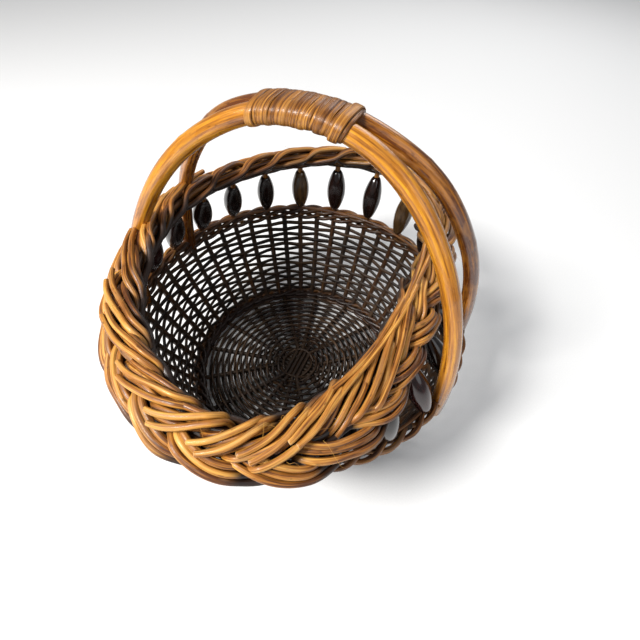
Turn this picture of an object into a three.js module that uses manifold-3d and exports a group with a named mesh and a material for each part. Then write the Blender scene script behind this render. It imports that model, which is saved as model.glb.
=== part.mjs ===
// Woven fruit basket: round bowl of woven cane, a ring of turned wooden beads, a plaited rim and a
// fixed bow handle of two rods.  Millimetres, +Z up, origin in the middle of the base on the table.
import * as THREE from 'three';
import { ParametricGeometry } from 'three/addons/geometries/ParametricGeometry.js';
import { mergeVertices } from 'three/addons/utils/BufferGeometryUtils.js';
import Module from 'manifold-3d';

const wasm = await Module();
wasm.setup();

// ---- driving dimensions ----
const FIT_GAP = 0.3;             // clearance between pieces that touch in the real basket
const SIDE_GAP = 0.4;            // the same, measured to the corners of a many-sided rod
const BEAD_COUNT = 24;           // one bead and one long stake every 15 degrees
const UP = new THREE.Vector3(0, 0, 1);

const WALL = {
  height: 66,                    // table to the top of the woven wall
  baseRadius: 64,                // middle of the weave where the wall starts
  topRadius: 94,                 // middle of the weave at the top
  bulge: 0.45,                   // 0 is a straight flare, 1 a quarter of a sine
  thickness: 7,
  bottom: 7.3,
  segments: 48,
};
const FOOT = { inner: 61.3, outer: 71.5, height: 7 };
const BASE = { radius: 61, bottom: 0, top: 5, stickRadius: 1.5, stickReach: 63.4, sticks: 8 };
const TOP_WALE = { inner: 90.5, outer: 99.5, bottom: 58, top: 66 };

const STAKE = { radius: 1.5, sides: 6, depthInWale: 6, depthInRim: 4 };
const BEAD = { radius: 6, endRadius: 3, boreRadius: 2, length: 24.6, segments: 8 };

const RIM = {
  offsetX: 3.8,
  halfX: 72.6,                   // the handle squeezes the rim into an oval along X
  halfY: 103,
  skew: 7.9,                     // draws the widest part of the oval towards +X
  turn: THREE.MathUtils.degToRad(-2.3),
  height: 104,                   // middle of the plait
  tilt: 3.7,                     // the +X side hangs this much lower, the -X side higher
  halfWidth: 13.2,
  halfThickness: 6.8,
  slope: THREE.MathUtils.degToRad(36),
  scallop: 0.05,                 // each bundle of rods swells the edge by this share of the width
};

const HANDLE = {
  halfSpan: 91,
  squareness: 2.06,              // 2 is an ellipse, more gives the bow fuller shoulders
  footHeight: 52,
  apexHeight: 181,
  lean: 8,                       // the top of the bow leans this far along +X
  apexSpread: 4.2,               // half the distance between the two rods at the top
  footSpread: 25.5,              // half the distance between them at the wall
  frontRadius: 4.1,
  backRadius: 3.9,
  sides: 8,
  steps: 34,
};
const WRAP = { centre: -1.5, halfLength: 18.5, thickness: 1.4, steps: 8 };

// ---- materials ----
function finish(color, roughness) {
  return new THREE.MeshStandardMaterial({ color, roughness, metalness: 0 });
}
const honeyCane = finish(0xb9803f, 0.5);
const darkCane = finish(0x5a3a1c, 0.6);
const amberRod = finish(0xc98a2e, 0.3);
const splitCane = finish(0xb87a3c, 0.4);
const lacqueredBead = finish(0x1c0d0a, 0.15);

// ---- solids ----
function toSolid(geometry) {
  const bare = geometry.clone();
  bare.deleteAttribute('normal');
  bare.deleteAttribute('uv');
  const merged = mergeVertices(bare, 1e-4);
  const vertProperties = new Float32Array(merged.attributes.position.array);
  const triVerts = new Uint32Array(merged.index.array);
  return new wasm.Manifold(new wasm.Mesh({ numProp: 3, vertProperties, triVerts }));
}

function toGeometry(solid) {
  const mesh = solid.getMesh();
  const geometry = new THREE.BufferGeometry();
  geometry.setAttribute('position', new THREE.BufferAttribute(mesh.vertProperties, 3));
  geometry.setIndex(new THREE.BufferAttribute(mesh.triVerts, 1));
  return geometry;
}

function polygon(radiusX, radiusY, sides) {
  const points = [];
  for (let i = 0; i < sides; i += 1) {
    const angle = (2 * Math.PI * (i + 0.5)) / sides;
    points.push(new THREE.Vector2(radiusX * Math.cos(angle), radiusY * Math.sin(angle)));
  }
  return new THREE.Shape(points);
}

function sweep(section, curve, steps) {
  return new THREE.ExtrudeGeometry(section, { steps, bevelEnabled: false, extrudePath: curve });
}

function straightRod(start, end, radius, sides) {
  return sweep(polygon(radius, radius, sides), new THREE.LineCurve3(start, end), 1);
}

// A ring turned about Z from a closed outline of [radius, height] points, listed anticlockwise.
function turnedRing(outline, segments) {
  const closed = [...outline, outline[0]];
  const profile = closed.map(([radius, height]) => new THREE.Vector2(radius, height));
  const ring = new THREE.LatheGeometry(profile, segments);
  ring.rotateX(Math.PI / 2);
  return ring;
}

function band(inner, outer, bottom, top, chamfer) {
  return [
    [inner, bottom], [outer - chamfer, bottom], [outer, bottom + chamfer],
    [outer, top - chamfer], [outer - chamfer, top], [inner, top],
  ];
}

// ---- wall, stakes and beads ----
function wallRadius(height) {
  const share = Math.min(1, height / WALL.height);
  const flare = (1 - WALL.bulge) * share + WALL.bulge * Math.sin((Math.PI / 2) * share);
  return WALL.baseRadius + (WALL.topRadius - WALL.baseRadius) * flare;
}

function aroundZ(radius, angle, height) {
  return new THREE.Vector3(radius * Math.cos(angle), radius * Math.sin(angle), height);
}

// Middle line of the rim, a lopsided oval; along runs from 0 to 2 pi.
function rimCentre(along) {
  const x = RIM.offsetX + RIM.halfX * Math.cos(along) - RIM.skew * Math.cos(2 * along);
  const height = RIM.height - RIM.tilt * Math.cos(along);
  const point = new THREE.Vector3(x, RIM.halfY * Math.sin(along), height);
  return point.applyAxisAngle(UP, RIM.turn);
}

// The rim's own axes: width runs outwards and down across the plait, depth through its thickness.
function rimAxes(along) {
  const step = 0.01;
  const ahead = rimCentre(along + step).sub(rimCentre(along - step));
  const outward = new THREE.Vector3(ahead.y, -ahead.x, 0).normalize();
  const width = outward.clone().multiplyScalar(Math.cos(RIM.slope));
  width.addScaledVector(UP, -Math.sin(RIM.slope));
  const depth = outward.clone().multiplyScalar(Math.sin(RIM.slope));
  depth.addScaledVector(UP, Math.cos(RIM.slope));
  return { width, depth };
}

// Where along the oval its middle line lies in this direction from the basket's axis.
function alongTowards(angle) {
  let along = angle;
  for (let i = 0; i < 20; i += 1) {
    const point = rimCentre(along);
    const error = angle - Math.atan2(point.y, point.x);
    along += Math.atan2(Math.sin(error), Math.cos(error));
  }
  return along;
}

function stakeLine(angle) {
  const foot = aroundZ(wallRadius(WALL.height), angle, WALL.height);
  const along = alongTowards(angle);
  const top = rimCentre(along);
  const direction = top.clone().sub(foot).normalize();
  const { width, depth } = rimAxes(along);
  const acrossPlait = direction.dot(width) / RIM.halfWidth;
  const throughPlait = direction.dot(depth) / RIM.halfThickness;
  top.addScaledVector(direction, -1 / Math.hypot(acrossPlait, throughPlait));
  return { foot, top, direction };
}

function stakeSolid(angle, radius, extra = 0) {
  const { foot, top, direction } = stakeLine(angle);
  const start = foot.clone().addScaledVector(direction, -STAKE.depthInWale - extra);
  const end = top.clone().addScaledVector(direction, STAKE.depthInRim + extra);
  return toSolid(straightRod(start, end, radius, STAKE.sides));
}

function beadGeometry() {
  const half = BEAD.length / 2;
  const profile = [
    [BEAD.boreRadius, -half], [BEAD.endRadius, -half], [BEAD.radius, -half * 0.35],
    [BEAD.radius, half * 0.35], [BEAD.endRadius, half], [BEAD.boreRadius, half],
  ];
  return turnedRing(profile, BEAD.segments);
}

const woodenBead = beadGeometry();

function addBead(group, index, angle) {
  const { foot, top, direction } = stakeLine(angle);
  const bead = new THREE.Mesh(woodenBead, lacqueredBead);
  bead.name = `bead_${String(index + 1).padStart(2, '0')}`;
  bead.position.copy(foot).lerp(top, 0.5);
  bead.quaternion.setFromUnitVectors(UP, direction);
  group.add(bead);
}

// ---- rim ----
function plaitedRing() {
  const surface = (u, v, target) => {
    const along = 2 * Math.PI * u;
    const around = 2 * Math.PI * v;
    const swell = 1 + RIM.scallop * Math.cos(BEAD_COUNT * along + Math.PI);
    const { width, depth } = rimAxes(along);
    target.copy(rimCentre(along));
    target.addScaledVector(width, RIM.halfWidth * swell * Math.cos(around));
    target.addScaledVector(depth, RIM.halfThickness * Math.sin(around));
  };
  return new ParametricGeometry(surface, 4 * BEAD_COUNT, 8);
}

// ---- handle ----
class BowCurve extends THREE.Curve {
  constructor(side, from = 0, to = Math.PI) {
    super();
    Object.assign(this, { side, from, to });
  }

  getPoint(u, target = new THREE.Vector3()) {
    const turn = this.from + (this.to - this.from) * u;
    const power = 2 / HANDLE.squareness;
    const rise = Math.max(0, Math.sin(turn)) ** power;
    const across = Math.sign(Math.cos(turn)) * Math.abs(Math.cos(turn)) ** power;
    const splay = HANDLE.footSpread - HANDLE.apexSpread;
    const spread = HANDLE.apexSpread + splay * (1 - rise * rise);
    return target.set(
      HANDLE.halfSpan * across + HANDLE.lean * rise,
      this.side * spread,
      HANDLE.footHeight + (HANDLE.apexHeight - HANDLE.footHeight) * rise,
    );
  }
}

function handleRod(side, radius) {
  return sweep(polygon(radius, radius, HANDLE.sides), new BowCurve(side), HANDLE.steps);
}

function wrapSleeve() {
  const from = Math.acos((WRAP.centre + WRAP.halfLength) / HANDLE.halfSpan);
  const to = Math.acos((WRAP.centre - WRAP.halfLength) / HANDLE.halfSpan);
  const middle = new BowCurve(0, from, to);
  const halfAcross = HANDLE.apexSpread + HANDLE.frontRadius + WRAP.thickness + 1;
  const halfHigh = HANDLE.frontRadius + WRAP.thickness + 0.6;
  const section = polygon(halfAcross, halfHigh, 12);
  return toSolid(sweep(section, middle, WRAP.steps));
}

// ---- base ----
function baseStar(radius, reach) {
  const height = (BASE.bottom + BASE.top) / 2;
  let star = null;
  for (let i = 0; i < BASE.sticks; i += 1) {
    const angle = (Math.PI * (i + 0.5)) / BASE.sticks;
    const end = aroundZ(reach, angle, height);
    const start = aroundZ(-reach, angle, height);
    const stick = toSolid(straightRod(start, end, radius, STAKE.sides));
    star = star ? star.add(stick) : stick;
  }
  return star;
}

// ---- assembly ----
const group = new THREE.Group();

function addPiece(name, solid, material) {
  const piece = new THREE.Mesh(toGeometry(solid), material);
  piece.name = name;
  group.add(piece);
}

let stakeSockets = null;
for (let i = 0; i < BEAD_COUNT; i += 1) {
  const angle = (2 * Math.PI * (i + 0.5)) / BEAD_COUNT;
  const name = `stake_${String(i + 1).padStart(2, '0')}`;
  addPiece(name, stakeSolid(angle, STAKE.radius), honeyCane);
  addBead(group, i, angle);
  const socket = stakeSolid(angle, STAKE.radius + SIDE_GAP, FIT_GAP);
  stakeSockets = stakeSockets ? stakeSockets.add(socket) : socket;
}

const frontRod = handleRod(-1, HANDLE.frontRadius);
const backRod = handleRod(1, HANDLE.backRadius);
const frontChannel = toSolid(handleRod(-1, HANDLE.frontRadius + SIDE_GAP));
const backChannel = toSolid(handleRod(1, HANDLE.backRadius + SIDE_GAP));
const rodChannels = frontChannel.add(backChannel);

const wallOutline = [];
const wallLevels = 4;
for (let i = 0; i <= wallLevels; i += 1) {
  const height = WALL.bottom + ((TOP_WALE.bottom - FIT_GAP - WALL.bottom) * i) / wallLevels;
  wallOutline.push([wallRadius(height) + WALL.thickness / 2, height]);
}
for (let i = wallLevels; i >= 0; i -= 1) {
  const height = WALL.bottom + ((TOP_WALE.bottom - FIT_GAP - WALL.bottom) * i) / wallLevels;
  wallOutline.push([wallRadius(height) - WALL.thickness / 2, height]);
}
const wall = toSolid(turnedRing(wallOutline, WALL.segments));
const wale = toSolid(turnedRing(band(TOP_WALE.inner, TOP_WALE.outer, TOP_WALE.bottom, TOP_WALE.top, 2),
  WALL.segments));
const foot = toSolid(turnedRing(band(FOOT.inner, FOOT.outer, 0, FOOT.height, 1.5), WALL.segments));
const disc = new THREE.CylinderGeometry(BASE.radius, BASE.radius, BASE.top - BASE.bottom, WALL.segments);
disc.rotateX(Math.PI / 2);
disc.translate(0, 0, (BASE.bottom + BASE.top) / 2);
const starChannel = baseStar(BASE.stickRadius + FIT_GAP, BASE.stickReach + FIT_GAP);

addPiece('base_sticks', baseStar(BASE.stickRadius, BASE.stickReach), darkCane);
addPiece('base_weave', toSolid(disc).subtract(starChannel), darkCane);
addPiece('foot_wale', foot.subtract(starChannel), honeyCane);
addPiece('wall_weave', wall.subtract(rodChannels), darkCane);
addPiece('top_wale', wale.subtract(stakeSockets).subtract(rodChannels), honeyCane);
addPiece('plaited_rim', toSolid(plaitedRing()).subtract(stakeSockets).subtract(rodChannels), honeyCane);
addPiece('handle_rod_front', toSolid(frontRod), amberRod);
addPiece('handle_rod_back', toSolid(backRod), amberRod);
addPiece('handle_wrap', wrapSleeve().subtract(rodChannels), splitCane);

export default group;
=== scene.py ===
import math

import bpy
import numpy as np
from mathutils import Matrix, Vector


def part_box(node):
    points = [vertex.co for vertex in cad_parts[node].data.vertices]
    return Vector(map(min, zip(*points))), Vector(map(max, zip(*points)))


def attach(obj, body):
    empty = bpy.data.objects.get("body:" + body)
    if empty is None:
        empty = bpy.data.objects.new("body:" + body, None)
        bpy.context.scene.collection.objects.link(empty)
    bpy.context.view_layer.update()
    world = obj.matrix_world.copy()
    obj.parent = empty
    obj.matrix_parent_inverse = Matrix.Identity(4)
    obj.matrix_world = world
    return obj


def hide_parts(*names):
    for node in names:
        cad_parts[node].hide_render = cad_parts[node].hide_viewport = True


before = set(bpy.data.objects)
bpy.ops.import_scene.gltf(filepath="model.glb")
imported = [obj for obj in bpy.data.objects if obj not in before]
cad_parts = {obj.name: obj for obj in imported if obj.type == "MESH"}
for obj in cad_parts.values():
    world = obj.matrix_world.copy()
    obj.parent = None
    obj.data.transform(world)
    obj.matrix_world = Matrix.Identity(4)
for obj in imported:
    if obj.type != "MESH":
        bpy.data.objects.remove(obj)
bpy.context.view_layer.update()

# Woven fruit basket: every rod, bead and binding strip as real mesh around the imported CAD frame.
# Lengths are in metres; MM turns the millimetres of the named sizes into them.
MM = 0.001
TAU = 2 * math.pi
UP = np.array([0.0, 0.0, 1.0])

# ---- sizes read from the frame ----
foot_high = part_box("foot_wale")[1]
wale_low, wale_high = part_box("top_wale")
FOOT_OUTER = foot_high[0]
FOOT_TOP = foot_high[2]
WALE_BOTTOM = wale_low[2]
WALL_TOP = wale_high[2]

# ---- camera ----
CAMERA_AZIMUTH = math.radians(21)
CAMERA_ELEVATION = math.radians(51.3)
CAMERA_ROLL = math.radians(2.24)
CAMERA_TARGET = Vector((17.3, -4.3, 66)) * MM
CAMERA_DISTANCE = 245.3 * MM
CAMERA_LENS = 24.2
FLOOR_HALF = 2.0

# ---- wall and wales ----
BEAD_COUNT = 24
UPRIGHTS = 2 * BEAD_COUNT
WALL_BASE_RADIUS = 64 * MM
WALL_TOP_RADIUS = 94 * MM
WALL_BULGE = 0.45
UPRIGHT_RADIUS = 1.75 * MM
UPRIGHT_BOTTOM = 3.2 * MM
WEAVER_RADIUS = 1.4 * MM
WEAVER_DEPTH = 0.7
WEAVER_PITCH = 3.35 * MM
WEAVER_SWAY = 0.24
TOP_WALE_ROD = 1.3 * MM
TOP_WALE_LEVELS = (WALE_BOTTOM + 1.9 * MM, WALE_BOTTOM + 5.6 * MM)
WALL_EDGE_ROD = 1.1 * MM
FOOT_WALE_ROD = 1.4 * MM
FOOT_WALE_SWAY = 2.9 * MM

# ---- base ----
BASE_MIDDLE = 3.1 * MM
BASE_STICK = 1.4 * MM
BASE_STICK_SPACING = 2.9 * MM
BASE_STICKS_EACH_WAY = 4
BASE_CROSS = 11 * MM
BASE_SPOKES = 4 * BASE_STICKS_EACH_WAY
BASE_WEAVER = 0.85 * MM
BASE_WEAVER_GAP = 0.35 * MM
BASE_WEAVE_FIRST = 15 * MM
BASE_WEAVE_LAST = 60.5 * MM

# ---- beads ----
BEAD_LONGEST = 29 * MM
BEAD_CLEARANCE = 1.0 * MM
BEAD_BELLY = 6 * MM
BEAD_BELLY_SPREAD = 0.3 * MM
BEAD_END = 2.5 * MM
BEAD_CHAMFER = 0.4 * MM
OLIVE_BEADS = (4, 7)

# ---- rim ----
RIM_OFFSET = 3.8 * MM
RIM_HALF_X = 72.6 * MM
RIM_HALF_Y = 103 * MM
RIM_SKEW = 7.9 * MM
RIM_TURN = math.radians(-2.3)
RIM_HEIGHT = 104 * MM
RIM_TILT = 3.7 * MM
RIM_SLOPE = math.radians(36)
RIM_HALF_WIDTH = 13.2 * MM
RIM_HALF_THICKNESS = 6.8 * MM
PLAIT_TURNS = 5
PLAIT_REACH = 8.2 * MM
PLAIT_LIFT = 4.7 * MM
PLAIT_ROD = 1.5 * MM
PLAIT_PITCH = 2.95 * MM
PLAIT_LANES = 3
# How much painted crevice shade darkens each plait rod's underside.
PLAIT_CREVICE_SHADE = 0.7
DOME_HALF_WIDTH = 15.2 * MM
SWELL_GAIN = 0.32
SWELL_SHIFT = 3.2 * MM
CORE_ROD = 1.8 * MM
CUT_PAIRS = 10
CUT_FIRST = math.radians(160)
CUT_LAST = math.radians(318)
CUT_REACH = 11.8 * MM
CUT_SPACING = 2.9 * MM
EDGE_RODS = (
    # degrees along the rim where a rod starts and ends, then how far across it starts and runs
    (-84, 6, 3 * MM, -11.8 * MM),
    (-78, 13, 6 * MM, -9.5 * MM),
    (-47, 34, 4 * MM, -11.8 * MM),
    (-41, 40, 7 * MM, -9.5 * MM),
)
FIBRES = 34
FIBRE_RADIUS = 0.07 * MM

# ---- handle ----
BOW_HALF_SPAN = 91 * MM
BOW_SQUARENESS = 2.06
BOW_FOOT = 52 * MM
BOW_APEX = 181 * MM
BOW_LEAN = 8 * MM
BOW_APEX_SPREAD = 4.2 * MM
BOW_FOOT_SPREAD = 25.5 * MM
FRONT_CANE = 4.1 * MM
BACK_CANE = 3.9 * MM
CANE_KNOTS = (0.62, 1.05, 2.15, 2.7)
CANE_KNOT_SWELL = 0.035
CANE_KNOT_WIDTH = 0.018
WRAP_CENTRE = -1.5 * MM
WRAP_HALF_LENGTH = 18.5 * MM
WRAP_TURNS = 17
WRAP_SLANT = 0.35
WRAP_ROUNDNESS = 2.6
STRIP_HALF_THICKNESS = 0.34 * MM


# ---- noise ----
def wander(values, rng, amount, waves):
    """Smooth noise of about +-amount along values (radians); whole waves close on themselves."""
    total = np.zeros_like(values)
    for wave in waves:
        total += rng.normal() * np.cos(wave * values + rng.uniform(0, TAU))
    return amount * total / math.sqrt(len(waves))


def smoothstep(values, low, high):
    share = np.clip((values - low) / (high - low), 0, 1)
    return share * share * (3 - 2 * share)


def unit(vectors):
    return vectors / np.linalg.norm(vectors, axis=-1, keepdims=True)


# ---- rods ----
def circle(sides):
    angles = np.linspace(0, TAU, sides, endpoint=False)
    return np.stack([np.cos(angles), np.sin(angles)], axis=1)


class RodMesh:
    """Swept rods gathered into one mesh, with the data on each rod that the materials read.

    rod_coord holds the distance along the rod and the place across it, in metres, and rod_look
    holds the rod's tint, its grime mixed with painted shade, and whether the point is on a cut tip,
    each about 0 to 1.
    A section is given in radii, first along the direction named side and then across it.
    """

    def __init__(self, seed):
        self.rng = np.random.default_rng(seed)
        self.points = []
        self.faces = []
        self.coords = []
        self.looks = []
        self.total = 0

    def add(self, path, radius, side, closed=False, section=None, tint=0.5, grime=0.0, under=0.0,
            cut=(0, 0)):
        """Sweep a rod along path; under is the extra painted shade on the side that faces away."""
        section = circle(8) if section is None else section
        path = np.asarray(path, dtype=float)
        count = len(path)
        radius = np.broadcast_to(np.asarray(radius, dtype=float), (count,)).copy()
        tint = np.broadcast_to(np.asarray(tint, dtype=float), (count,)).copy()
        grime = np.broadcast_to(np.asarray(grime, dtype=float), (count,)).copy()
        side = np.broadcast_to(np.asarray(side, dtype=float), (count, 3))
        if closed:
            tangent = unit(np.roll(path, -1, axis=0) - np.roll(path, 1, axis=0))
        else:
            tangent = unit(np.gradient(path, axis=0))
        normal = unit(side - tangent * np.sum(side * tangent, axis=1, keepdims=True))
        across = np.cross(tangent, normal)
        steps = np.linalg.norm(np.diff(path, axis=0), axis=1)
        distance = np.concatenate([[0], np.cumsum(steps)])
        tip = np.zeros(count)
        if not closed:
            # a short chamfer ring closes each end
            chamfer = 0.25 * radius[[0, -1]] * np.abs(section[:, 0]).max()
            first = path[0] - tangent[0] * chamfer[0]
            last = path[-1] + tangent[-1] * chamfer[1]
            path = np.vstack([first, path, last])
            radius = np.concatenate([[radius[0] * 0.8], radius, [radius[-1] * 0.8]])
            normal = np.vstack([normal[:1], normal, normal[-1:]])
            across = np.vstack([across[:1], across, across[-1:]])
            distance = np.concatenate([distance[:1], distance, distance[-1:]])
            tint = np.concatenate([tint[:1], tint, tint[-1:]])
            grime = np.concatenate([grime[:1], grime, grime[-1:]])
            tip = np.concatenate([[cut[0]], tip, [cut[1]]])
            count += 2
        sides = len(section)
        ring = (section[None, :, 0, None] * normal[:, None, :]
                + section[None, :, 1, None] * across[:, None, :])
        places = path[:, None, :] + radius[:, None, None] * ring
        start = self.rng.uniform(0, 3, 3)
        coord = np.empty((count, sides, 3))
        coord[:, :, 0] = distance[:, None] + start[0]
        coord[:, :, 1] = radius[:, None] * section[None, :, 0] + start[1]
        coord[:, :, 2] = radius[:, None] * section[None, :, 1] + start[2]
        look = np.empty((count, sides, 3))
        look[:, :, 0] = tint[:, None]
        # Painted shade: the side facing away from side is darkened, as shade in the crevices between
        # rods.
        look[:, :, 1] = grime[:, None] + under * (1 - smoothstep(section[:, 0], -0.55, 0.45))
        look[:, :, 2] = tip[:, None]
        self.points.append(places.reshape(-1, 3))
        self.coords.append(coord.reshape(-1, 3))
        self.looks.append(look.reshape(-1, 3))
        rows = np.arange(count if closed else count - 1)
        cols = np.arange(sides)
        row, col = np.meshgrid(rows, cols, indexing="ij")
        next_row = (row + 1) % count
        next_col = (col + 1) % sides
        quads = np.stack([row * sides + col, row * sides + next_col,
                          next_row * sides + next_col, next_row * sides + col], axis=-1)
        self.faces.extend((quads.reshape(-1, 4) + self.total).tolist())
        if not closed:
            first_ring = [self.total + i for i in range(sides)]
            last_ring = [self.total + (count - 1) * sides + i for i in range(sides)]
            self.faces.append(first_ring[::-1])
            self.faces.append(last_ring)
        self.total += count * sides

    def build(self, name, material, replaced=()):
        return make_piece(name, np.vstack(self.points), self.faces, material,
                          replaced, np.vstack(self.coords), np.vstack(self.looks))


def make_piece(name, points, faces, material, replaced=(), coords=None, looks=None):
    mesh = bpy.data.meshes.new(name)
    mesh.from_pydata(points.tolist(), [], faces)
    for label, data in (("rod_coord", coords), ("rod_look", looks)):
        if data is not None:
            layer = mesh.attributes.new(label, "FLOAT_VECTOR", "POINT")
            layer.data.foreach_set("vector", np.ascontiguousarray(data, dtype=np.float32).ravel())
    mesh.shade_smooth()
    mesh.materials.append(material)
    piece = bpy.data.objects.new(name, mesh)
    bpy.context.scene.collection.objects.link(piece)
    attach(piece, "root")
    if replaced:
        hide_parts(*replaced)
    return piece


# ---- materials ----
class Surface:
    """A principled material with short calls for its nodes."""

    def __init__(self, name):
        self.material = bpy.data.materials.new(name)
        self.material.use_nodes = True
        self.tree = self.material.node_tree
        self.shader = self.tree.nodes["Principled BSDF"]

    def node(self, kind, values=None, **settings):
        node = self.tree.nodes.new("ShaderNode" + kind)
        for key, value in settings.items():
            setattr(node, key, value)
        for key, value in (values or {}).items():
            if isinstance(value, bpy.types.NodeSocket):
                self.tree.links.new(value, node.inputs[key])
            else:
                node.inputs[key].default_value = value
        return node

    def attribute(self, name):
        return self.node("Attribute", attribute_name=name).outputs["Vector"]

    def noise(self, vector, scale, detail=3.0, roughness=0.55, distortion=0.0):
        mapping = self.node("Mapping", {"Vector": vector, "Scale": scale})
        values = {"Vector": mapping.outputs[0], "Scale": 1.0, "Detail": detail,
                  "Roughness": roughness, "Distortion": distortion}
        return self.node("TexNoise", values).outputs["Fac"]

    def ramp(self, value, stops):
        ramp = self.node("ValToRGB", {"Fac": value})
        elements = ramp.color_ramp.elements
        while len(elements) < len(stops):
            elements.new(0.5)
        for element, (position, color) in zip(elements, stops):
            element.position = position
            element.color = (*color, 1.0)
        return ramp.outputs["Color"]

    def math(self, operation, first, second, clamp=False):
        node = self.node("Math", {0: first, 1: second}, operation=operation, use_clamp=clamp)
        return node.outputs[0]

    def blend(self, factor, first, second, mode="MIX"):
        node = self.node("MixRGB", {"Fac": factor, "Color1": first, "Color2": second}, blend_type=mode)
        return node.outputs[0]

    def spread(self, value, low, high):
        values = {"Value": value, "To Min": low, "To Max": high}
        return self.node("MapRange", values).outputs[0]

    def link(self, output, socket):
        self.tree.links.new(output, self.shader.inputs[socket])

    def set(self, **values):
        for key, value in values.items():
            self.shader.inputs[key.replace("_", " ")].default_value = value

    def bump(self, height, strength, distance):
        values = {"Height": height, "Strength": strength, "Distance": distance}
        self.link(self.node("Bump", values).outputs[0], "Normal")


def cane(name, dark, middle, light, weathered, grime_and_shade_color, roughness=(0.3, 0.5), streak=1300.0,
         streak_share=0.8, patch_share=0.36, coat=0.0):
    """Cane or willow: colour streaks along the rod, patches of wear, grime mixed with painted shade,
    and pale cut tips.

    streak is the number of streaks per metre round the rod, and the shares say how far the
    streaks and the patches move the tone between dark and light.
    """
    surface = Surface(name)
    coord = surface.attribute("rod_coord")
    look = surface.node("SeparateXYZ", {"Vector": surface.attribute("rod_look")})
    tint, grime, tip = look.outputs
    streaks = surface.noise(coord, (38, streak, streak), 4.0, 0.6)
    fibres = surface.noise(coord, (90, streak * 3.2, streak * 3.2), 2.0, 0.5)
    patches = surface.noise(coord, (70, 260, 260), 3.0, 0.55)
    spots = surface.noise(coord, (260, 700, 700), 2.0, 0.5)
    tone = surface.math("ADD", surface.spread(streaks, -streak_share, streak_share), tint)
    tone = surface.math("ADD", tone, surface.spread(patches, -patch_share, patch_share), clamp=True)
    color = surface.ramp(tone, [(0.12, dark), (0.5, middle), (0.95, light)])
    faded = surface.ramp(patches, [(0.52, (0, 0, 0)), (0.72, (1, 1, 1))])
    faded = surface.math("MULTIPLY", faded, surface.spread(tint, 1.1, 0.1), clamp=True)
    color = surface.blend(faded, color, (*weathered, 1.0))
    flecks = surface.ramp(spots, [(0.66, (0, 0, 0)), (0.74, (1, 1, 1))])
    flecks = surface.math("MULTIPLY", flecks, 0.55)
    color = surface.blend(flecks, color, (*grime_and_shade_color, 1.0))
    # The grime channel mixes real grime with painted shade of crevices, buried rods and the basket's
    # inside; both blend to the same dark colour here.
    stain_and_shade = surface.math("MULTIPLY", grime, surface.spread(patches, 0.7, 1.25), clamp=True)
    color = surface.blend(stain_and_shade, color, (*grime_and_shade_color, 1.0))
    color = surface.blend(tip, color, (0.62, 0.42, 0.2, 1.0))
    surface.link(color, "Base Color")
    low, high = roughness
    surface.link(surface.spread(patches, low - 0.08, high + 0.12), "Roughness")
    height = surface.math("ADD", surface.math("MULTIPLY", streaks, 0.7),
                          surface.math("MULTIPLY", fibres, 0.3))
    height = surface.math("ADD", height, surface.math("MULTIPLY", patches, 0.6))
    surface.bump(height, 0.8, 0.0004)
    if coat:
        surface.set(Coat_Weight=coat, Coat_Roughness=0.12)
    return surface.material


honey_cane = cane("honey_cane_rods", dark=(0.085, 0.022, 0.002), middle=(0.39, 0.142, 0.018),
                  light=(0.76, 0.39, 0.075), weathered=(0.24, 0.13, 0.055),
                  grime_and_shade_color=(0.016, 0.005, 0.0015), roughness=(0.38, 0.55),
                  streak_share=1.15, coat=0.12)
# Painted shade: a near-black copy of the cane for the wall, bye stakes and base, standing for the shade
# inside the basket; the weave itself is brown.
shaded_cane = cane("shaded_cane_weave", dark=(0.012, 0.005, 0.002), middle=(0.042, 0.018, 0.005),
                 light=(0.13, 0.062, 0.018), weathered=(0.05, 0.03, 0.015),
                 grime_and_shade_color=(0.006, 0.003, 0.0015), roughness=(0.45, 0.6))
amber_cane = cane("amber_handle_cane", dark=(0.11, 0.027, 0.001), middle=(0.46, 0.165, 0.010),
                  light=(0.82, 0.38, 0.02), weathered=(0.40, 0.16, 0.02),
                  grime_and_shade_color=(0.06, 0.016, 0.002), roughness=(0.2, 0.3),
                  streak=900.0, streak_share=1.0, patch_share=0.14, coat=0.6)
split_cane = cane("split_cane_lapping", dark=(0.10, 0.03, 0.003), middle=(0.38, 0.145, 0.018),
                  light=(0.68, 0.33, 0.06), weathered=(0.32, 0.14, 0.03),
                  grime_and_shade_color=(0.05, 0.015, 0.003), roughness=(0.3, 0.46),
                  streak=2400.0, streak_share=1.1, coat=0.1)


def lacquer(name, deep, warm):
    """Turned wood under dark lacquer: faint grain, and gloss that is worn in patches."""
    surface = Surface(name)
    place = surface.node("TexCoord").outputs["Object"]
    grain = surface.noise(place, (500, 500, 60), 4.0, 0.6)
    wear = surface.noise(place, (120, 120, 120), 3.0, 0.6)
    color = surface.ramp(grain, [(0.35, deep), (0.75, warm)])
    surface.link(color, "Base Color")
    surface.link(surface.spread(wear, 0.06, 0.3), "Roughness")
    surface.bump(grain, 0.12, 0.0002)
    surface.set(Coat_Weight=0.5, Coat_Roughness=0.1)
    return surface.material


bead_black = lacquer("bead_lacquer_black", (0.004, 0.002, 0.0016), (0.018, 0.006, 0.004))
bead_maroon = lacquer("bead_lacquer_maroon", (0.012, 0.003, 0.003), (0.045, 0.009, 0.007))
bead_olive = lacquer("bead_lacquer_olive", (0.045, 0.022, 0.008), (0.17, 0.09, 0.03))


# ---- curves of the basket ----
def wall_radius(height):
    """The wall flares outwards, faster near the foot."""
    share = np.clip(height / WALL_TOP, 0, 1)
    flare = (1 - WALL_BULGE) * share + WALL_BULGE * np.sin(math.pi / 2 * share)
    return WALL_BASE_RADIUS + (WALL_TOP_RADIUS - WALL_BASE_RADIUS) * flare


def around_z(radius, angle, height):
    radius, angle, height = np.broadcast_arrays(radius, angle, height)
    return np.stack([radius * np.cos(angle), radius * np.sin(angle), height], axis=-1)


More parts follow.
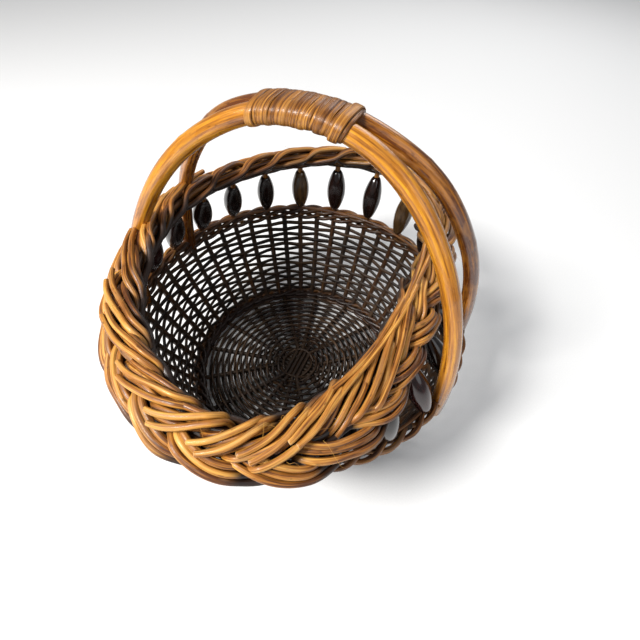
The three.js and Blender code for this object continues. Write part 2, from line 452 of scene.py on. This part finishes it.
def rim_centre(along):
    """The middle line of the plait: an oval, fuller on one side, turned and tilted a little."""
    along = np.asarray(along, dtype=float)
    x = RIM_OFFSET + RIM_HALF_X * np.cos(along) - RIM_SKEW * np.cos(2 * along)
    y = RIM_HALF_Y * np.sin(along)
    height = RIM_HEIGHT - RIM_TILT * np.cos(along)
    cos, sin = math.cos(RIM_TURN), math.sin(RIM_TURN)
    return np.stack([x * cos - y * sin, x * sin + y * cos, height], axis=-1)


def rim_axes(along):
    """Width runs outwards and down across the plait, depth through it, pace is metres per radian."""
    ahead = (rim_centre(along + 0.01) - rim_centre(along - 0.01)) / 0.02
    outward = unit(np.stack([ahead[..., 1], -ahead[..., 0], 0 * ahead[..., 0]], axis=-1))
    width = outward * math.cos(RIM_SLOPE) - UP * math.sin(RIM_SLOPE)
    depth = outward * math.sin(RIM_SLOPE) + UP * math.cos(RIM_SLOPE)
    return width, depth, np.linalg.norm(ahead, axis=-1)


def rim_place(along, across, lift):
    """The point on the plait at this place along it, this far across it and this far up from it."""
    width, depth, _ = rim_axes(along)
    return rim_centre(along) + width * across[:, None] + depth * lift[:, None]


def rim_at_shares(shares):
    """Where along the rim its middle line has run these shares of its whole length."""
    fine = np.linspace(0, TAU, 2001)
    steps = np.linalg.norm(np.diff(rim_centre(fine), axis=0), axis=1)
    run = np.concatenate([[0], np.cumsum(steps)])
    return np.interp(shares, run / run[-1], fine)


def along_towards(angle):
    """Where along the rim its middle line lies in this direction from the basket's axis."""
    along = angle
    for _ in range(20):
        x, y, _height = rim_centre(along)
        error = angle - math.atan2(y, x)
        along += math.atan2(math.sin(error), math.cos(error))
    return along


def stake_line(angle):
    """Foot on the wall's top edge, the point under the rim, and the rim's middle line above it."""
    foot = around_z(WALL_TOP_RADIUS, angle, WALL_TOP)
    along = along_towards(angle)
    middle = rim_centre(along)
    direction = unit(middle - foot)
    width, depth, _ = rim_axes(along)
    reach = 1 / math.hypot(direction @ width / RIM_HALF_WIDTH, direction @ depth / RIM_HALF_THICKNESS)
    return foot, middle - direction * reach, middle


def stake_angle(index):
    return TAU * (index + 0.5) / BEAD_COUNT


def bow_place(side, turn):
    """A point on the bow, side -1, 0 or 1 of its middle, from its +X foot at turn 0 to pi."""
    power = 2 / BOW_SQUARENESS
    rise = np.maximum(0, np.sin(turn)) ** power
    across = np.sign(np.cos(turn)) * np.abs(np.cos(turn)) ** power
    spread = BOW_APEX_SPREAD + (BOW_FOOT_SPREAD - BOW_APEX_SPREAD) * (1 - rise ** 2)
    x = BOW_HALF_SPAN * across + BOW_LEAN * rise
    return np.stack([x, side * spread, BOW_FOOT + (BOW_APEX - BOW_FOOT) * rise], axis=-1)


# ---- camera, light and floor ----
def add_camera():
    """A close camera with a wide lens, rolled a little; back points from its target to it."""
    level = math.cos(CAMERA_ELEVATION)
    back = Vector((math.sin(CAMERA_AZIMUTH) * level, -math.cos(CAMERA_AZIMUTH) * level,
                   math.sin(CAMERA_ELEVATION)))
    right = Vector((math.cos(CAMERA_AZIMUTH), math.sin(CAMERA_AZIMUTH), 0))
    up = back.cross(right)
    tilted_right = right * math.cos(CAMERA_ROLL) + up * math.sin(CAMERA_ROLL)
    tilted_up = up * math.cos(CAMERA_ROLL) - right * math.sin(CAMERA_ROLL)
    data = bpy.data.cameras.new("photo_camera")
    data.sensor_width = 36
    data.lens = CAMERA_LENS
    data.clip_start = 0.01
    camera = bpy.data.objects.new("photo_camera", data)
    axes = Matrix((tilted_right, tilted_up, back)).transposed().to_4x4()
    camera.matrix_world = Matrix.Translation(CAMERA_TARGET + back * CAMERA_DISTANCE) @ axes
    bpy.context.scene.collection.objects.link(camera)
    bpy.context.scene.camera = camera


def add_area_light(name, place, size, power, color=(1, 1, 1)):
    data = bpy.data.lights.new(name, "AREA")
    data.shape = "DISK"
    data.size = size
    data.energy = power
    data.color = color
    light = bpy.data.objects.new(name, data)
    light.location = place
    aim = Vector((0, 0, 0.06)) - Vector(place)
    light.rotation_euler = aim.to_track_quat("-Z", "Y").to_euler()
    bpy.context.scene.collection.objects.link(light)


def add_studio():
    """A soft key light from the left front, weak fill and back lights, and a pale paper floor."""
    add_area_light("key_light", (-0.42, -0.55, 0.85), 0.32, 16.0, (1.0, 0.985, 0.96))
    add_area_light("fill_light", (0.75, -0.35, 0.65), 0.8, 1.8, (0.93, 0.96, 1.0))
    add_area_light("back_light", (0.1, 0.8, 0.7), 0.6, 3.0)
    world = bpy.data.worlds.new("studio_world")
    world.use_nodes = True
    background = world.node_tree.nodes["Background"]
    background.inputs["Color"].default_value = (0.95, 0.97, 1.0, 1.0)
    background.inputs["Strength"].default_value = 0.24
    bpy.context.scene.world = world
    bpy.context.scene.view_settings.view_transform = "Standard"
    corners = FLOOR_HALF * np.array([[-1, -1, 0], [1, -1, 0], [1, 1, 0], [-1, 1, 0]])
    mesh = bpy.data.meshes.new("studio_floor")
    mesh.from_pydata(corners.tolist(), [], [[0, 1, 2, 3]])
    paper = Surface("floor_paper")
    grain = paper.noise(paper.node("TexCoord").outputs["Object"], (900, 900, 900), 2.0)
    paper.link(paper.ramp(grain, [(0.3, (0.87, 0.87, 0.87)), (0.7, (0.9, 0.9, 0.9))]), "Base Color")
    paper.set(Roughness=0.9)
    mesh.materials.append(paper.material)
    floor = bpy.data.objects.new("studio_floor", mesh)
    bpy.context.scene.collection.objects.link(floor)


# ---- wall ----
def upright_path(angle, rng):
    heights = np.linspace(UPRIGHT_BOTTOM, WALL_TOP - 1 * MM, 22)
    lean = wander(heights / WALL_TOP, rng, 0.006, (1, 2, 3))
    return around_z(wall_radius(heights), angle + lean, heights)


def add_long_stakes():
    """The long stakes: up the wall, on through a bead each, and into the plait."""
    for i in range(BEAD_COUNT):
        rods = RodMesh(100 + i)
        angle = stake_angle(i)
        foot, _, middle = stake_line(angle)
        wall = upright_path(angle, rods.rng)
        share = np.linspace(0.12, 1, 12)[:, None]
        gallery = foot + (middle - foot) * share * 0.93
        path = np.vstack([wall, gallery])
        # Painted shade: the stake is near-black inside the wall and darkens down the gallery towards
        # the wall's top, under the rim.
        grime = np.concatenate([np.full(len(wall), 0.95), np.linspace(0.6, 0.15, len(gallery))])
        tint = rods.rng.uniform(0.35, 0.6)
        rods.add(path, UPRIGHT_RADIUS, around_z(1, angle + math.pi / 2, 0), tint=tint, grime=grime)
        number = f"{i + 1:02d}"
        rods.build(f"long_stake_{number}", honey_cane, [f"stake_{number}"])


def add_bye_stakes():
    """The short uprights, one between each pair of long stakes, which end in the top wale."""
    rods = RodMesh(200)
    for i in range(BEAD_COUNT):
        angle = stake_angle(i - 0.5)
        path = upright_path(angle, rods.rng)
        tint = rods.rng.uniform(0.2, 0.5)
        rods.add(path, UPRIGHT_RADIUS, around_z(1, angle + math.pi / 2, 0), tint=tint, grime=0.2)
    rods.build("bye_stakes", shaded_cane)


def weaver_sway(angles, row, rng):
    """How far a weaver lies off the wall's middle: outwards at one upright, inwards at the next."""
    sway = WEAVER_SWAY * (UPRIGHT_RADIUS + WEAVER_RADIUS)
    wave = np.cos(BEAD_COUNT * angles + math.pi * row)
    return sway * wave * (1 + wander(angles, rng, 0.08, (3, 7, 11)))


def add_wall_weavers():
    """Rows of single weavers, packed closer towards the foot, with gaps to see through."""
    rods = RodMesh(300)
    section = circle(10) * np.array([1, WEAVER_DEPTH])
    angles = np.linspace(0, TAU, UPRIGHTS * 10, endpoint=False)
    bottom = FOOT_TOP + WEAVER_RADIUS
    rows = int((WALE_BOTTOM - bottom) / WEAVER_PITCH) + 1
    for row in range(rows):
        rng = rods.rng
        share = row / rows
        level = bottom + (WALE_BOTTOM - bottom) * (0.8 * share + 0.2 * share ** 2)
        height = level + wander(angles, rng, 0.32 * MM, (2, 3, 5, 9, 14, 23))
        radius = wall_radius(height) + weaver_sway(angles, row, rng)
        thickness = WEAVER_RADIUS * rng.uniform(0.9, 1.1) * (1 + wander(angles, rng, 0.05, (5, 13, 29)))
        tint = rng.uniform(0.15, 0.6) + wander(angles, rng, 0.12, (1, 2, 5))
        path = around_z(radius, angles, height)
        rods.add(path, thickness, UP, closed=True, section=section, tint=tint, grime=0.35)
    rods.build("wall_weavers", shaded_cane, ["wall_weave"])


def add_wale(rods, level, half_height, middle_radius, sway, rod_radius, strands, tint, grime):
    """A wale: rods that pass outside some uprights and inside the next, twisting as they go."""
    angles = np.linspace(0, TAU, UPRIGHTS * 10, endpoint=False)
    periods = UPRIGHTS // strands
    for strand in range(strands):
        rng = rods.rng
        phase = periods * angles + TAU * strand / strands
        height = level + half_height * np.sin(phase) + wander(angles, rng, 0.25 * MM, (3, 7, 12))
        radius = middle_radius + sway * np.cos(phase) + wander(angles, rng, 0.25 * MM, (2, 5, 11))
        path = around_z(radius, angles, height)
        rod_tint = tint + rng.uniform(-0.12, 0.12) + wander(angles, rng, 0.08, (1, 3, 6))
        # Painted shade: the stretches that pass inside the uprights are darkened, as the shade inside
        # the basket.
        inside = 1 - smoothstep(np.cos(phase), -0.8, 0.3)
        thickness = rod_radius * (1 + wander(angles, rng, 0.04, (5, 13, 29)))
        rods.add(path, thickness, UP, closed=True, tint=rod_tint, grime=grime + 0.6 * inside)


def add_top_wale():
    """Two rounds of three twisted rods, and one dark rod along the wall's top edge."""
    top = RodMesh(400)
    sway = UPRIGHT_RADIUS + 1.4 * MM
    for level in TOP_WALE_LEVELS:
        radius = wall_radius(level) + 0.9 * MM
        add_wale(top, level, 1.35 * MM, radius, sway, TOP_WALE_ROD, strands=3, tint=0.42, grime=0.3)
    edge = np.linspace(0, TAU, UPRIGHTS * 6, endpoint=False)
    height = WALL_TOP - 0.6 * MM + wander(edge, top.rng, 0.2 * MM, (2, 5, 9))
    path = around_z(WALL_TOP_RADIUS - 1.4 * MM, edge, height)
    top.add(path, WALL_EDGE_ROD, UP, closed=True, tint=0.25, grime=0.5)
    top.build("top_wale_rods", honey_cane, ["top_wale"])


def add_foot_wale():
    """Two rounds of four twisted rods that the basket stands on."""
    foot = RodMesh(450)
    middle = (FOOT_OUTER + WALL_BASE_RADIUS) / 2 - 1 * MM
    # Painted shade: the upper round, seen from inside the basket, is darkened more than the lower.
    for level, grime in ((2.4 * MM, 0.3), (5.4 * MM, 0.8)):
        add_wale(foot, level, 0.45 * MM, middle, FOOT_WALE_SWAY, FOOT_WALE_ROD, strands=4, tint=0.35,
                 grime=grime)
    foot.build("foot_wale_rods", honey_cane, ["foot_wale"])


# ---- base ----
def add_base_sticks():
    """Two layers of sticks crossed at right angles, fanned out evenly towards the foot wale."""
    rods = RodMesh(500)
    for layer in (0, 1):
        for lane in range(BASE_STICKS_EACH_WAY):
            place = lane - (BASE_STICKS_EACH_WAY - 1) / 2
            fan = TAU / BASE_SPOKES * place
            near = np.array([BASE_CROSS, BASE_STICK_SPACING * place, 0])
            far = WALL_BASE_RADIUS * np.array([math.cos(fan), math.sin(fan), 0])
            share = np.linspace(0, 1, 14)[:, None]
            arm = near + (far - near) * share
            other_arm = arm[::-1] * np.array([-1, 1, 1])
            path = np.vstack([other_arm, arm])
            crossing = np.exp(-(path[:, 0] / (1.6 * BASE_CROSS)) ** 2)
            path[:, 2] = BASE_MIDDLE + 0.95 * BASE_STICK * (2 * layer - 1) * crossing
            if layer:
                path = path[:, [1, 0, 2]]
            tint = rods.rng.uniform(0.3, 0.6)
            rods.add(path, BASE_STICK, UP, tint=tint, grime=0.3, cut=(1, 1))
    rods.build("base_slath", shaded_cane, ["base_sticks"])


def add_base_weave():
    """Three tying rounds over and under whole layers, then rounds over one spoke and under the next."""
    rods = RodMesh(520)
    angles = np.linspace(0, TAU, BASE_SPOKES * 18, endpoint=False)
    for radius, row in ((9.6 * MM, 0), (11.4 * MM, 1), (13.2 * MM, 0)):
        wave = np.cos(2 * angles + math.pi * row)
        height = BASE_MIDDLE + 0.58 * (2 * BASE_STICK + BASE_WEAVER) * wave
        rods.add(around_z(radius, angles, height), BASE_WEAVER, UP, closed=True, tint=0.4)
    pitch = 2 * BASE_WEAVER + BASE_WEAVER_GAP
    for row in range(int((BASE_WEAVE_LAST - BASE_WEAVE_FIRST) / pitch) + 1):
        rng = rods.rng
        radius = BASE_WEAVE_FIRST + pitch * row + wander(angles, rng, 0.12 * MM, (2, 4, 7))
        wave = np.sin(BASE_SPOKES / 2 * angles + math.pi * row)
        height = BASE_MIDDLE + 0.95 * (BASE_STICK + BASE_WEAVER) * wave
        tint = rng.uniform(0.2, 0.6)
        path = around_z(radius, angles, height)
        rods.add(path, BASE_WEAVER, UP, closed=True, tint=tint, grime=0.2)
    rods.build("base_weavers", shaded_cane, ["base_weave"])


# ---- beads ----
def bead_outline(half, belly, rings=20):
    """Radius against height of an oval bead with flat ends and a drilled hole."""
    heights = np.linspace(-half, half, rings)
    radii = BEAD_END + (belly - BEAD_END) * np.cos(math.pi / 2 * heights / half) ** 0.85
    heights = np.clip(heights, BEAD_CHAMFER - half, half - BEAD_CHAMFER)
    bore = UPRIGHT_RADIUS + 0.15 * MM
    face = BEAD_END - 0.5 * MM
    lower_face = [(bore, -half), (face, -half)]
    upper_face = [(face, half), (bore, half)]
    return lower_face + list(zip(radii, heights)) + upper_face


def lathed_faces(rows, sides):
    """Quads of a closed outline turned about its axis."""
    faces = []
    for row in range(rows):
        for col in range(sides):
            next_row = (row + 1) % rows
            next_col = (col + 1) % sides
            faces.append([row * sides + col, row * sides + next_col,
                          next_row * sides + next_col, next_row * sides + col])
    return faces


def bead_material(index):
    if index in OLIVE_BEADS:
        return bead_olive
    return bead_maroon if index % 5 == 2 else bead_black


def add_beads():
    """One bead on each long stake, as long as the gap between the wall and the rim lets it be."""
    rng = np.random.default_rng(600)
    sides = 28
    for i in range(BEAD_COUNT):
        foot, under, _ = stake_line(stake_angle(i))
        free = np.linalg.norm(under - foot)
        half = min(BEAD_LONGEST, free - BEAD_CLEARANCE) / 2
        belly = BEAD_BELLY + BEAD_BELLY_SPREAD * rng.uniform(-1, 1)
        outline = bead_outline(half, belly)
        turn = np.linspace(0, TAU, sides, endpoint=False) + rng.uniform(0, TAU)
        rings = [around_z(radius, turn, height) for radius, height in outline]
        rotation = Vector((0, 0, 1)).rotation_difference(Vector(under - foot)).to_matrix()
        points = np.vstack(rings) @ np.array(rotation).T + (foot + under) / 2
        number = f"{i + 1:02d}"
        piece = make_piece(f"bead_wood_{number}", points, lathed_faces(len(outline), sides),
                           bead_material(i), [f"bead_{number}"])
        piece.data.set_sharp_from_angle(angle=math.radians(40))


# ---- plaited rim ----
def plait_sway(phase):
    """Across the plait and up from it, as shares: over from the middle to an edge, then under."""
    return np.sin(phase), np.tanh(1.9 * np.sin(2 * phase)) / math.tanh(1.9)


def dome(across):
    """The plait is thick in the middle and thin at its edges."""
    return np.sqrt(np.clip(1 - (across / DOME_HALF_WIDTH) ** 2, 0.12, 1))


def rim_tint(along):
    """Honey at the front and left, weathered towards the back."""
    y = rim_centre(along)[..., 1]
    return 0.5 - 0.08 * smoothstep(y, -10 * MM, 80 * MM)


def rim_shade(along):
    """How dark the rods get inside the plait: deep at the front, little at the back."""
    y = rim_centre(along)[..., 1]
    return 1.0 - 0.7 * smoothstep(y, -20 * MM, 50 * MM)


def rim_swell(along):
    """The plait spreads outwards beside the handle's foot; the share is 1 where it is widest."""
    degrees = np.degrees(np.mod(along, TAU))
    return smoothstep(degrees, 278, 312) * (1 - smoothstep(degrees, 325, 352))


def buried(lift):
    """How far a rod that lies on the plait has dipped under its neighbours, 0 to 1."""
    return 1 - smoothstep(lift, -2.0 * MM, 1.0 * MM)


def add_rim_strands():
    """Each lane is one rod that goes round PLAIT_TURNS times and rejoins its start.

    Side by side the lanes make up the strands of a flat plait. In its turns each lane crosses
    the plait and comes back BEAD_COUNT times.
    """
    shares = np.linspace(0, PLAIT_TURNS, PLAIT_TURNS * 700, endpoint=False)
    along = rim_at_shares(shares % 1)
    loop = TAU * shares / PLAIT_TURNS
    length = np.sum(np.linalg.norm(np.diff(rim_centre(along), axis=0), axis=1))
    _, _, pace = rim_axes(along)
    shared_slip = wander(loop, np.random.default_rng(690), 0.12, (11, 17, 23, 31))
    spacing = PLAIT_PITCH * (1 + 0.08 * smoothstep(rim_centre(along)[:, 1], 0, 80 * MM))
    for lane in range(PLAIT_LANES):
        rods = RodMesh(700 + lane)
        rng = rods.rng
        phase = BEAD_COUNT * loop + shared_slip + wander(loop, rng, 0.09, (19, 33, 47, 61))
        share_across, share_lift = plait_sway(phase)
        heading = np.arctan(PLAIT_REACH * TAU * BEAD_COUNT / length * np.cos(phase))
        offset = (lane - (PLAIT_LANES - 1) / 2) * spacing
        offset = offset + wander(loop, rng, 0.5 * MM, (23, 41, 59, 83, 118))
        swell = rim_swell(along)
        across = PLAIT_REACH * (1 + SWELL_GAIN * swell) * share_across + SWELL_SHIFT * swell
        across = across + offset * np.cos(heading)
        place = along - offset * np.sin(heading) / pace
        lift = PLAIT_LIFT * share_lift * dome(across - SWELL_SHIFT * swell)
        lift = lift + wander(loop, rng, 0.35 * MM, (31, 57, 83, 121))
        path = rim_place(place, across, lift)
        _, depth, _ = rim_axes(place)
        thickness = PLAIT_ROD * (1 + wander(loop, rng, 0.09, (3, 8, 21, 77, 160)))
        # Painted shade: rods darken where they dip under their neighbours, most at the front, with
        # crevice shade on their undersides.
        grime = rim_shade(place) * (1 - smoothstep(lift, -1.0 * MM, 2.8 * MM))
        tint = rim_tint(place) + wander(loop, rng, 0.24, (2, 5, 9, 16, 29, 48))
        rods.add(path, thickness, depth, closed=True, tint=tint, grime=grime, under=PLAIT_CREVICE_SHADE)
        replaced = ["plaited_rim"] if lane == 0 else []
        rods.build(f"rim_rod_{lane + 1}", honey_cane, replaced)


def add_rim_core():
    """Rods hidden inside the plait, which close the view through it."""
    rods = RodMesh(740)
    along = np.linspace(0, TAU, 300, endpoint=False)
    for across, lift in ((-6, 0), (-2, -0.8), (2, 0.8), (6, 0)):
        sway = across * MM + wander(along, rods.rng, 0.8 * MM, (3, 5, 8, 13))
        rise = lift * MM + wander(along, rods.rng, 0.5 * MM, (3, 6, 9))
        _, depth, _ = rim_axes(along)
        # Painted shade: the hidden core rods are near-black at the front, so gaps in the plait read as
        # shadow.
        grime = 1 - 0.7 * smoothstep(rim_centre(along)[:, 1], -40 * MM, 30 * MM)
        path = rim_place(along, sway, rise)
        rods.add(path, CORE_ROD, depth, closed=True, tint=0.3, grime=grime)
    rods.build("rim_core_rods", honey_cane)


def add_rim_tips():
    """Pairs of cut ends that lie on the plait, run to its inner edge and tuck under it."""
    rods = RodMesh(760)
    rng = rods.rng
    share = np.linspace(0, 1, 60)
    for pair in range(CUT_PAIRS):
        begin = CUT_FIRST + (CUT_LAST - CUT_FIRST) * (pair + rng.uniform(-0.2, 0.2)) / CUT_PAIRS
        start_across = rng.uniform(-2.5, 2.5) * MM
        length = rng.uniform(0.5, 0.62)
        for twin in range(2):
            late = twin * rng.uniform(0.035, 0.06)
            place = begin + late + (length - late * 0.4) * share
            slide = smoothstep(share, -0.15, 0.75)
            across = start_across - (CUT_REACH + start_across) * slide
            across = across + twin * CUT_SPACING * (1 - 0.4 * share)
            across = across + 7 * MM * smoothstep(share, 0.72, 1)
            across = across + wander(share * TAU, rng, 0.25 * MM, (1, 2))
            lift = (PLAIT_LIFT + 2.0 * MM) * dome(across) + 0.8 * MM * (1 - share) ** 2
            lift = lift - 11 * MM * smoothstep(share, 0.58, 0.95)
            path = rim_place(place, across, lift)
            _, depth, _ = rim_axes(place)
            thickness = PLAIT_ROD * rng.uniform(0.86, 1.0) * (1 - 0.12 * (1 - share) ** 6)
            # Painted shade: tips darken where they dip under the plait, with crevice shade on their
            # undersides.
            grime = 0.75 * buried(lift)
            tint = rim_tint(place) + rng.uniform(-0.02, 0.22)
            rods.add(path, thickness, depth, tint=tint, grime=grime, under=PLAIT_CREVICE_SHADE, cut=(1, 0))
    rods.build("rim_cut_rods", honey_cane)


def add_rim_edge_rods():
    """Long rods that cross over from the front and follow the inner edge beside the handle."""
    rods = RodMesh(780)
    rng = rods.rng
    share = np.linspace(0, 1, 130)
    for first, last, start_across, edge_across in EDGE_RODS:
        place = np.radians(first + (last - first) * share)
        slide = smoothstep(share, 0.0, 0.5)
        across = start_across * (1 - slide) + edge_across * slide
        across = across + wander(share * TAU, rng, 0.35 * MM, (1, 2, 3))
        lift = (PLAIT_LIFT + 1.7 * MM) * dome(across) + wander(share * TAU, rng, 0.3 * MM, (1, 3))
        lift = lift - 9 * MM * (1 - smoothstep(share, 0, 0.1) + smoothstep(share, 0.86, 1))
        path = rim_place(place, across, lift)
        _, depth, _ = rim_axes(place)
        tint = rim_tint(place) + rng.uniform(-0.1, 0.2)
        thickness = PLAIT_ROD * (0.95 + wander(share * TAU, rng, 0.05, (2, 5)))
        # Painted shade: the rods darken where they dip into the plait at each end, with crevice shade
        # on their undersides.
        rods.add(path, thickness, depth, tint=tint, grime=0.8 * buried(lift), under=PLAIT_CREVICE_SHADE)
    rods.build("rim_edge_rods", honey_cane)


# ---- handle ----
def add_handle_cane(name, side, radius, seed, tint, replaced):
    """A thick cane bent into a bow, with faint knots, and darker where it runs down past the rim."""
    rods = RodMesh(seed)
    turn = np.linspace(0, math.pi, 260)
    path = bow_place(side, turn)
    path[:, 2] += wander(turn, rods.rng, 0.35 * MM, (4, 7, 11))
    thickness = radius * (1 + wander(turn, rods.rng, 0.012, (6, 10, 17)))
    for knot in CANE_KNOTS:
        thickness *= 1 + CANE_KNOT_SWELL * np.exp(-((turn - knot) / CANE_KNOT_WIDTH) ** 2)
    # Painted shade: the cane is darkened, in tone and grime, where it runs down past the rim into its
    # shade.
    low = 1 - smoothstep(path[:, 2], WALL_TOP - 4 * MM, WALL_TOP + 30 * MM)
    tints = tint + wander(turn, rods.rng, 0.06, (2, 5, 9)) - 0.15 * low
    rods.add(path, thickness, (0, 1, 0), section=circle(24), tint=tints, grime=0.45 * low)
    rods.build(name, amber_cane, replaced)


def wrap_place(turn, around, extra):
    """A point on the wrap's surface, and the direction out of it there.

    turn runs along the bow, and around goes from the -Y side over the top.
    """
    middle = bow_place(0, turn)
    ahead = unit(bow_place(0, turn - 0.01) - bow_place(0, turn + 0.01))
    across = np.broadcast_to(np.array([0.0, 1.0, 0.0]), middle.shape)
    top = np.cross(ahead, across)
    spread = bow_place(1, turn)[..., 1]
    half_across = spread + FRONT_CANE + extra
    half_high = FRONT_CANE + extra
    cos, sin = -np.cos(around), np.sin(around)
    size = np.abs(cos) ** WRAP_ROUNDNESS + np.abs(sin) ** WRAP_ROUNDNESS
    flat = size ** (-1 / WRAP_ROUNDNESS)
    offset = across * (half_across * flat * cos)[:, None] + top * (half_high * flat * sin)[:, None]
    outward = unit(across * (cos / half_across)[:, None] + top * (sin / half_high)[:, None])
    return middle + offset, outward


def strip_section(half_width, half_thickness):
    """A flat strip with rounded edges; the first axis is its thickness."""
    across = np.array([-1, -0.8, -0.3, 0.3, 0.8, 1, 0.8, 0.3, -0.3, -0.8])
    thick = np.array([0, 0.8, 1.1, 1.1, 0.8, 0, -0.8, -1, -1, -0.8])
    return np.stack([thick * half_thickness, across * half_width], axis=1)


def add_wrap():
    """The split cane in slanting turns round both handle canes, with its tail laid over them."""
    rods = RodMesh(850)
    rng = rods.rng
    start = math.acos((WRAP_CENTRE + WRAP_HALF_LENGTH) / BOW_HALF_SPAN)
    end = math.acos((WRAP_CENTRE - WRAP_HALF_LENGTH) / BOW_HALF_SPAN)
    per_turn = (end - start) / WRAP_TURNS
    slant = WRAP_SLANT * per_turn
    around = np.linspace(0, TAU, 72)
    for k in range(WRAP_TURNS):
        begin = end - per_turn * k
        turn = begin - per_turn * around / TAU + slant * np.cos(around)
        turn = turn + wander(around, rng, 0.0025, (1, 2, 3))
        lift = rng.uniform(0.3, 0.75) * MM + wander(around, rng, 0.12 * MM, (1, 2, 3))
        path, outward = wrap_place(turn, around - math.pi / 2, lift)
        half_width = rng.uniform(1.1, 1.9) * MM
        on_top = smoothstep(np.sin(around - math.pi / 2), 0.2, 1)
        tint = rng.uniform(0.3, 0.62) - 0.18 * on_top
        section = strip_section(half_width, STRIP_HALF_THICKNESS)
        rods.add(path, 1.0, outward, section=section, tint=tint, grime=0.05)
    share = np.linspace(0, 1, 60)
    around = -0.45 * math.pi + 1.4 * math.pi * share
    turn = start + 2.3 * per_turn - 1.9 * per_turn * share
    path, outward = wrap_place(turn, around, 1.35 * MM)
    section = strip_section(2.0 * MM, 0.36 * MM)
    rods.add(path, 1.0, outward, section=section, tint=0.5, grime=0.02, cut=(0.4, 0.8))
    rods.build("wrap_lapping", split_cane, ["handle_wrap"])


def add_whiskers():
    """Fine fibres that have split off the rods."""
    rods = RodMesh(900)
    rng = rods.rng
    share = np.linspace(0, 1, 14)
    for _ in range(FIBRES):
        along = rng.uniform(0, TAU)
        across = rng.uniform(-9, 9) * MM
        length = rng.uniform(5, 16) * MM
        heading = rng.uniform(0, TAU)
        _, _, pace = rim_axes(along)
        place = along + share * length * math.cos(heading) / pace
        sway = across + share * length * math.sin(heading) + wander(share * 4, rng, 0.9 * MM, (1, 2))
        rise = PLAIT_LIFT + 1.4 * MM + rng.uniform(1.0, 4.0) * MM * share ** 1.5
        path = rim_place(place, sway, rise * dome(np.full_like(share, across)))
        thickness = FIBRE_RADIUS * (1.1 - share * 0.8)
        rods.add(path, thickness, UP + 0.3, section=circle(4), tint=0.75)
    rods.build("loose_fibres", honey_cane)


add_camera()
add_studio()
add_long_stakes()
add_bye_stakes()
add_wall_weavers()
add_top_wale()
add_foot_wale()
add_base_sticks()
add_base_weave()
add_beads()
add_rim_strands()
add_rim_core()
add_rim_tips()
add_rim_edge_rods()
add_handle_cane("handle_cane_front", -1, FRONT_CANE, 800, 0.52, ["handle_rod_front"])
add_handle_cane("handle_cane_back", 1, BACK_CANE, 810, 0.22, ["handle_rod_back"])
add_wrap()
add_whiskers()
